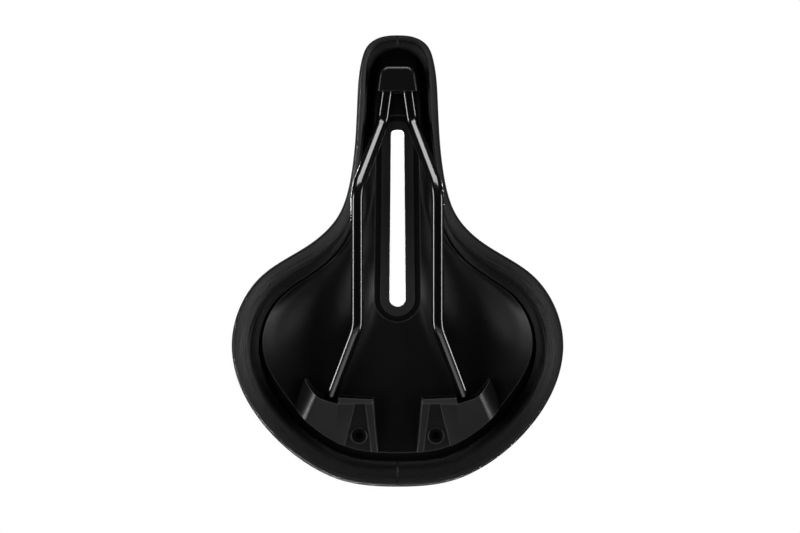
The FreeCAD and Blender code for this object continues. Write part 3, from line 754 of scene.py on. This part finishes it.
for node, material in {
    "base_shell": SHELL,
    "nose_rail_cap": CAP,
    "channel_liner": LINER,
    "rail": RAIL,
    "accessory_inserts": INSERT,
}.items():
    give(nodes[node], material)

pieces = (
    (cover_top(), "cover_top", TOP, "cover_top_panel"),
    (cover_side("seat_cover_left", 1), "cover_side", SIDE, "cover_side_panel_left"),
    (cover_side("seat_cover_right", -1), "cover_side", SIDE, "cover_side_panel_right"),
    (foam_pad(), "foam", FOAM, "foam_pad"),
)
for piece, slot, material, stands_for in pieces:
    give(piece, material)
    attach(piece, "root")
    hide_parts(stands_for)

# ---------------------------------------------------------------- floor

scene = bpy.context.scene
WHITE = (1, 1, 1, 1)
FLOOR_HALF_SIZE, FLOOR_DROP = 6.0, 0.0003
# The floor's white glow, least near the saddle and full far away: painted light, not a lamp.
GLOW_START, GLOW_END, LEAST_GLOW = 0.25, 1.6, 0.2
floor_height = cad_low.z - FLOOR_DROP


def floor():
    """A pale floor just under the rails, with a painted white glow that grows away from the saddle. Only its
    upper side shows, and the saddle gets nothing from it.
    """
    across = FLOOR_HALF_SIZE / MM
    corners = [(-across, -across), (across, -across), (across, across), (-across, across)]
    points = np.array([(x, y, floor_height / MM) for x, y in corners])
    obj = make_object("floor", points, [(0, 1, 2, 3)])
    made, tree, shader = new_material("floor", Roughness=0.9, Specular_IOR_Level=0.1)
    grain = noise(tree, 60.0, 3.0)
    tree.links.new(mixed(tree, grain, (0.78, 0.78, 0.78), (0.82, 0.82, 0.82)), shader.inputs["Base Color"])
    away = add(tree, "ShaderNodeVectorMath", {0: position(tree)}, operation="LENGTH").outputs["Value"]
    # Painted light: a white glow is mixed in, a fifth near the saddle to lift its shadow and full far away to
    # fade the floor into the white world.
    glow = add(tree, "ShaderNodeEmission", {"Color": WHITE, "Strength": 1.0})
    fade = remap(tree, away, GLOW_START, GLOW_END, LEAST_GLOW, 1.0)
    lit = add(tree, "ShaderNodeMixShader", {0: fade, 1: shader.outputs[0], 2: glow.outputs[0]})
    clear = add(tree, "ShaderNodeBsdfTransparent")
    below = add(tree, "ShaderNodeNewGeometry").outputs["Backfacing"]
    mix = add(tree, "ShaderNodeMixShader", {0: below, 1: lit.outputs[0], 2: clear.outputs[0]})
    tree.links.new(mix.outputs[0], tree.nodes["Material Output"].inputs[0])
    give(obj, made)
    obj.visible_shadow = False
    obj.visible_diffuse = False
    obj.visible_glossy = False


floor()

# ---------------------------------------------------------------- lights


def group(name, members):
    made = bpy.data.collections.new(name)
    for member in members:
        made.objects.link(member)
    return made


def softbox(name, place, aim, width, height, power, only=None):
    """A rectangular light, unseen by the camera, which falls on the group named by only, or on everything."""
    light = bpy.data.lights.new(name, "AREA")
    light.shape = "RECTANGLE"
    light.size, light.size_y = width, height
    light.energy = power
    obj = bpy.data.objects.new(name, light)
    obj.location = place
    direction = Vector(aim) - Vector(place)
    obj.rotation_euler = direction.to_track_quat("-Z", "Y").to_euler()
    obj.visible_camera = False
    obj.light_linking.receiver_collection = only
    scene.collection.objects.link(obj)


glossy = group("glossy_parts", [nodes["rail"], nodes["nose_rail_cap"]])
moulded = group("moulded_parts", [nodes["base_shell"], nodes["channel_liner"], nodes["accessory_inserts"]])
covers = group("cover_parts", [piece for piece, slot, _, _ in pieces if slot != "foam"])

# Left and right are as in the photograph, whose left is -Y.
MIDDLE, REAR, SHELL_MIDDLE = (0, 0, 0.03), (-0.15, 0, 0.03), (-0.03, 0, 0.03)
softbox("left_strip", (-0.15, -1.2, -0.26), REAR, 1.1, 0.22, 7.8)
softbox("right_strip", (-0.15, 1.2, -0.26), REAR, 1.1, 0.22, 6.5)
softbox("front_wide", (1.1, 0.0, -0.40), MIDDLE, 1.3, 0.7, 15, glossy)
softbox("shoulder_left", (0.66, -0.92, 0.22), MIDDLE, 0.5, 0.3, 2.4, covers)
softbox("shoulder_right", (0.66, 0.92, 0.22), MIDDLE, 0.5, 0.3, 1.6, covers)
softbox("rear_low", (-0.75, 0.0, -0.80), MIDDLE, 2.0, 0.6, 1.3, glossy)
softbox("rear_box", (-0.86, 0.0, -0.70), MIDDLE, 1.0, 0.3, 0.74)
softbox("left_low", (-0.2, -0.66, -1.02), SHELL_MIDDLE, 0.7, 0.35, 0.95, moulded)
softbox("right_low", (-0.2, 0.66, -1.02), SHELL_MIDDLE, 0.7, 0.35, 0.85, moulded)

sun = bpy.data.lights.new("overhead", "SUN")
sun.energy = 3.6
sun.angle = math.radians(26)
overhead = bpy.data.objects.new("overhead", sun)
overhead.rotation_euler = (math.radians(3), math.radians(-5), 0)
scene.collection.objects.link(overhead)

# The world is plain white to the camera, and gives the object only a little light.
WORLD_STRENGTH = 0.022
world = bpy.data.worlds.new("studio")
scene.world = world
world.use_nodes = True
tree = world.node_tree
dim = tree.nodes["Background"]
dim.inputs["Color"].default_value = WHITE
dim.inputs["Strength"].default_value = WORLD_STRENGTH
white = add(tree, "ShaderNodeBackground", {"Color": WHITE, "Strength": 1.0})
seen = add(tree, "ShaderNodeLightPath").outputs["Is Camera Ray"]
mix = add(tree, "ShaderNodeMixShader", {0: seen, 1: dim.outputs[0], 2: white.outputs[0]})
tree.links.new(mix.outputs[0], tree.nodes["World Output"].inputs[0])

# ---------------------------------------------------------------- camera, straight below with the nose up

lens = bpy.data.cameras.new("camera")
lens.sensor_width = 36.0
lens.lens = 98.7
lens.clip_start, lens.clip_end = 0.05, 20.0
camera = bpy.data.objects.new("camera", lens)
camera.location = (-0.0003, 0.0014, -1.2)
camera.rotation_mode = "QUATERNION"
side = Vector((0, 1, 0))
up = Vector((1, 0, 0))
camera.rotation_quaternion = Matrix((side, up, side.cross(up))).transposed().to_quaternion()
scene.collection.objects.link(camera)
scene.camera = camera

scene.view_settings.view_transform = "Standard"
scene.view_settings.look = "None"
